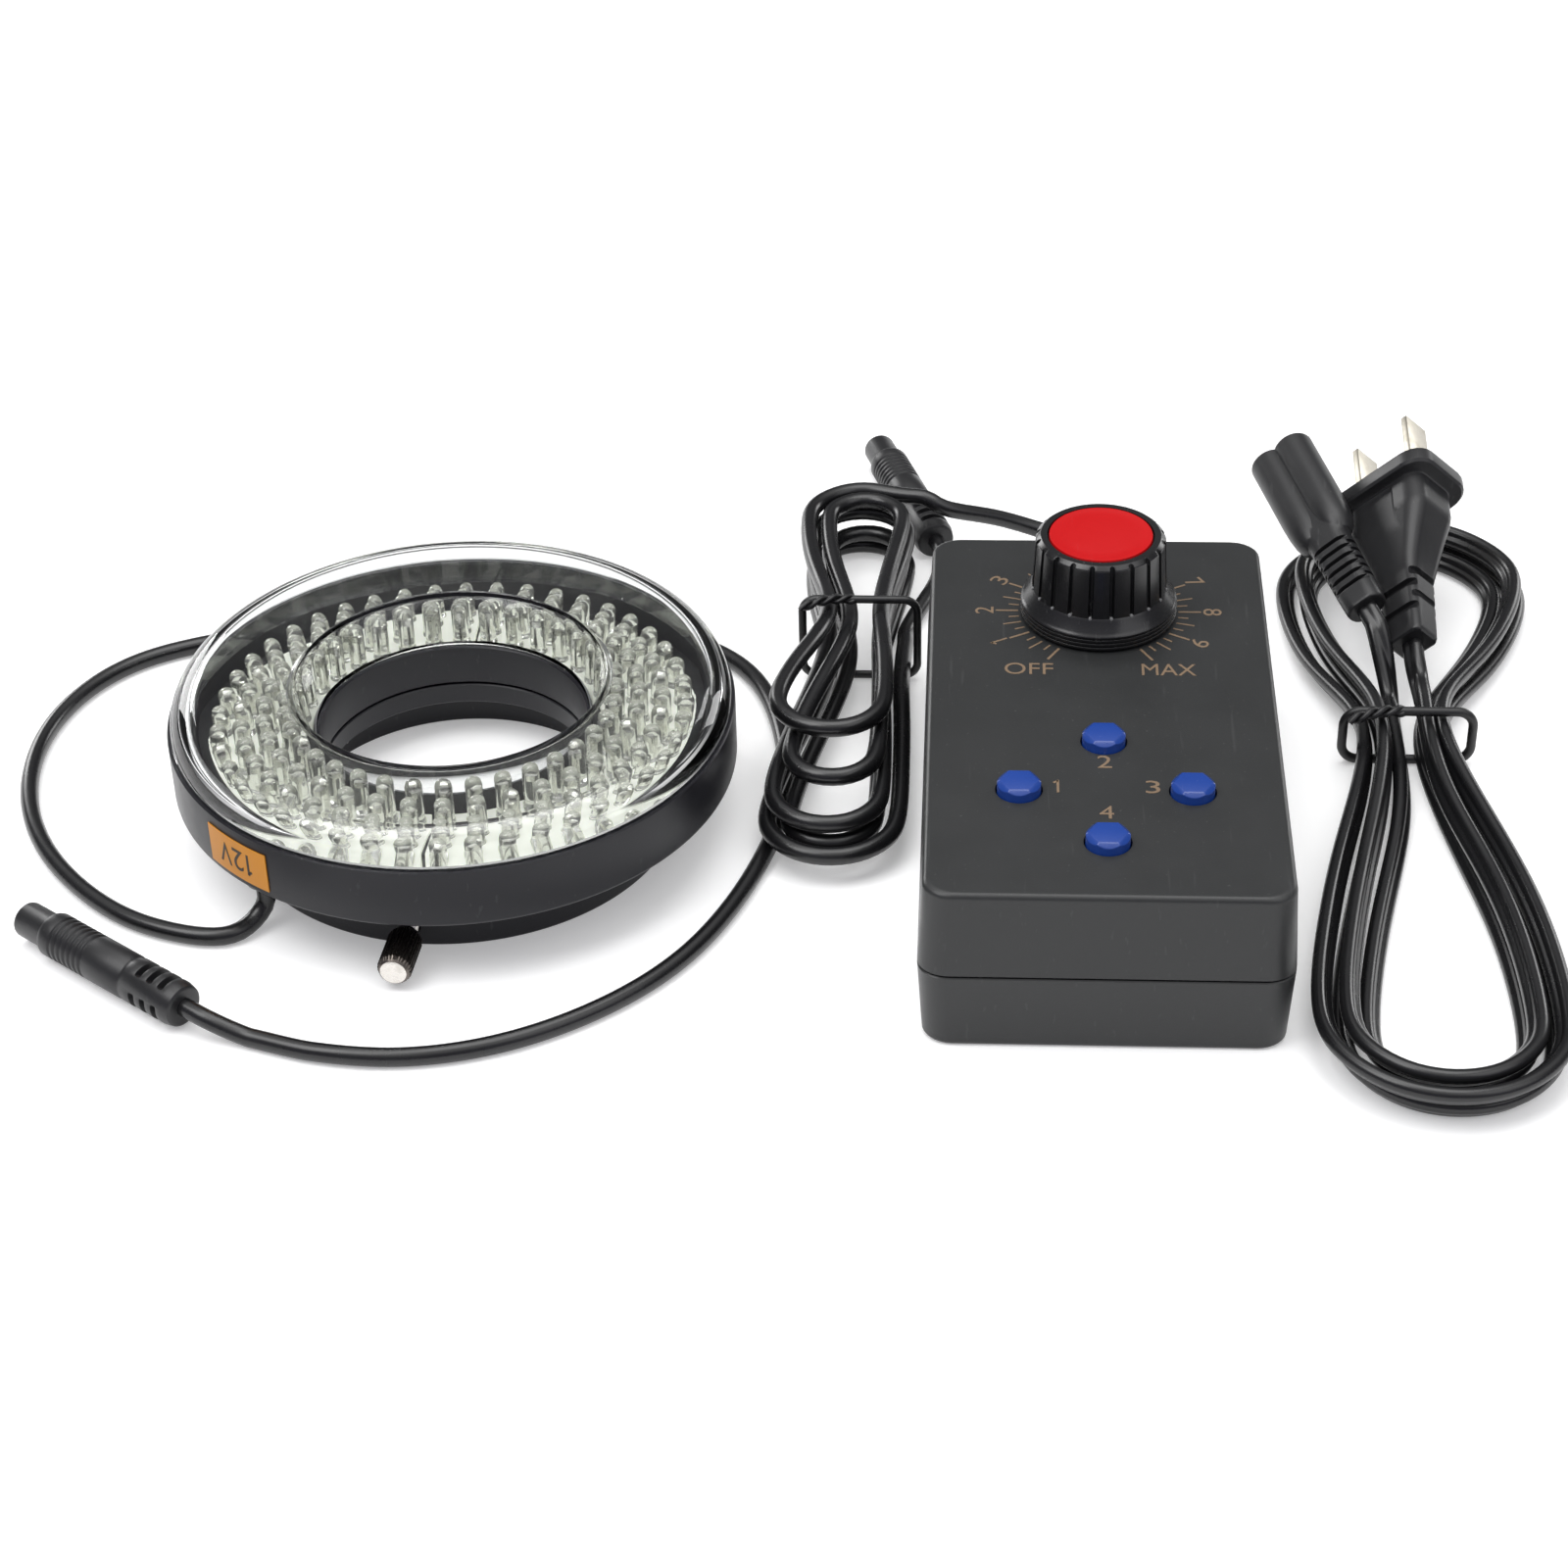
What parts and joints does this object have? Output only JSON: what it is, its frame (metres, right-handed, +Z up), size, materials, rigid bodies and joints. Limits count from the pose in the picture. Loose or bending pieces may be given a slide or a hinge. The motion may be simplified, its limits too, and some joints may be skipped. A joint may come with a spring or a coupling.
{
  "type": "microscope ring light",
  "caption": "Microscope ring light: lamp ring under a clear rounded cover on a clamping collar, with a dimmer control box, hanked output cord, ring cord and mains lead.",
  "frame": {"origin": "on the table plane, below the middle of the bounding box that ring head and control box share; free cords and what hangs on them are left out", "axes": "+X from the ring head to the control box, +Y from the box's front end to its back end with the cord outlet, +Z up"},
  "size_m": [0.2923, 0.2189, 0.0491],
  "materials": {
    "housing_black": "satin black moulded plastic",
    "clear_plastic": "clear polished plastic cover",
    "lamp_clear": "clear epoxy lamp bodies on a pale holder",
    "board_green": "glass-fibre circuit board with green mask",
    "screw_steel": "bare steel screws",
    "nickel": "nickel-plated metal",
    "label_orange": "printed label",
    "case_charcoal": "fine-grained charcoal plastic",
    "knob_black": "satin black moulded plastic",
    "cap_red": "glossy red plastic",
    "button_blue": "satin blue plastic",
    "switch_body": "black moulded plastic",
    "transformer_core": "laminated iron core with its winding",
    "capacitor_sleeve": "shrink sleeve",
    "cord_black": "smooth black cord jacket",
    "plug_black": "moulded black plug plastic",
    "contact_insert": "moulded insert with its contacts",
    "blade_metal": "pale plated brass blades",
    "tie_black": "plastic-covered wire tie"
  },
  "bodies": {
    "base": {"appliance_plug": "plug_black", "case_bottom": "case_charcoal", "case_screw_1": "screw_steel", "case_screw_2": "screw_steel", "case_screw_3": "screw_steel", "case_screw_4": "screw_steel", "case_top": "case_charcoal", "clear_cover": "clear_plastic", "collar_screw_1": "screw_steel", "collar_screw_2": "screw_steel", "collar_screw_3": "screw_steel", "dimmer_body": "nickel", "dimmer_nut": "nickel", "filter_capacitor": "capacitor_sleeve", "lamp_board": "board_green", "lamp_zone_1": "lamp_clear", "lamp_zone_2": "lamp_clear", "lamp_zone_3": "lamp_clear", "lamp_zone_4": "lamp_clear", "main_board": "board_green", "mains_hank": "cord_black", "mains_inlet": "switch_body", "mains_lead_a": "cord_black", "mains_lead_b": "cord_black", "mains_tie": "tie_black", "mount_collar": "housing_black", "output_end": "cord_black", "output_gland": "plug_black", "output_hank": "cord_black", "output_lead": "cord_black", "output_socket_body": "plug_black", "output_socket_contacts": "contact_insert", "output_tie": "tie_black", "power_transformer": "transformer_core", "ring_cord": "cord_black", "ring_cord_outlet": "plug_black", "ring_housing": "housing_black", "ring_plug_body": "plug_black", "ring_plug_contacts": "contact_insert", "voltage_label": "label_orange", "wall_blade_1": "blade_metal", "wall_blade_2": "blade_metal", "wall_plug": "plug_black", "zone_switch_1": "switch_body", "zone_switch_2": "switch_body", "zone_switch_3": "switch_body", "zone_switch_4": "switch_body"},
    "knob": {"dimmer_knob": "knob_black", "dimmer_shaft": "nickel", "knob_cap": "cap_red"},
    "screw_1_head": {"thumbscrew_head_1": "nickel"},
    "screw_2_head": {"thumbscrew_head_2": "nickel"},
    "screw_3_head": {"thumbscrew_head_3": "nickel"},
    "screw_1_stem": {"thumbscrew_stem_1": "nickel"},
    "screw_2_stem": {"thumbscrew_stem_2": "nickel"},
    "screw_3_stem": {"thumbscrew_stem_3": "nickel"},
    "button_1": {"zone_button_1": "button_blue"},
    "button_2": {"zone_button_2": "button_blue"},
    "button_3": {"zone_button_3": "button_blue"},
    "button_4": {"zone_button_4": "button_blue"}
  },
  "joints": [
    {"name": "thumbscrew_1_travel", "type": "slide", "parent": "base", "child": "screw_1_stem", "axis": [0.0872, 0.9962, 0], "range_m": [-0.004, 0.00225]},
    {"name": "thumbscrew_1_turn", "type": "hinge", "parent": "screw_1_stem", "child": "screw_1_head", "pos_m": [-0.04915, 0.00485, 0.0043], "axis": [0.0872, 0.9962, 0], "range_deg": [-2885, 1625]},
    {"name": "thumbscrew_2_travel", "type": "slide", "parent": "base", "child": "screw_2_stem", "axis": [-0.9063, -0.4226, 0], "range_m": [-0.004, 0.00225]},
    {"name": "thumbscrew_2_turn", "type": "hinge", "parent": "screw_2_stem", "child": "screw_2_head", "pos_m": [-0.04915, 0.00485, 0.0043], "axis": [-0.9063, -0.4226, 0], "range_deg": [-2885, 1625]},
    {"name": "thumbscrew_3_travel", "type": "slide", "parent": "base", "child": "screw_3_stem", "axis": [0.8192, -0.5736, 0], "range_m": [-0.004, 0.00225]},
    {"name": "thumbscrew_3_turn", "type": "hinge", "parent": "screw_3_stem", "child": "screw_3_head", "pos_m": [-0.04915, 0.00485, 0.0043], "axis": [0.8192, -0.5736, 0], "range_deg": [-2885, 1625]},
    {"name": "dimmer_turn", "type": "hinge", "parent": "base", "child": "knob", "pos_m": [0.0693, 0.02655, 0.0325], "axis": [0, 0, 1], "range_deg": [-300, 0]},
    {"name": "button_1_press", "type": "slide", "parent": "base", "child": "button_1", "axis": [0, 0, -1], "range_m": [0, 0.0012], "stiffness_N_per_m": 1000},
    {"name": "button_2_press", "type": "slide", "parent": "base", "child": "button_2", "axis": [0, 0, -1], "range_m": [0, 0.0012], "stiffness_N_per_m": 1000},
    {"name": "button_3_press", "type": "slide", "parent": "base", "child": "button_3", "axis": [0, 0, -1], "range_m": [0, 0.0012], "stiffness_N_per_m": 1000},
    {"name": "button_4_press", "type": "slide", "parent": "base", "child": "button_4", "axis": [0, 0, -1], "range_m": [0, 0.0012], "stiffness_N_per_m": 1000}
  ],
  "couplings": [
    {"joint": "thumbscrew_1_turn", "follows": "thumbscrew_1_travel", "rad_per_m": 12566},
    {"joint": "thumbscrew_2_turn", "follows": "thumbscrew_2_travel", "rad_per_m": 12566},
    {"joint": "thumbscrew_3_turn", "follows": "thumbscrew_3_travel", "rad_per_m": 12566}
  ]
}
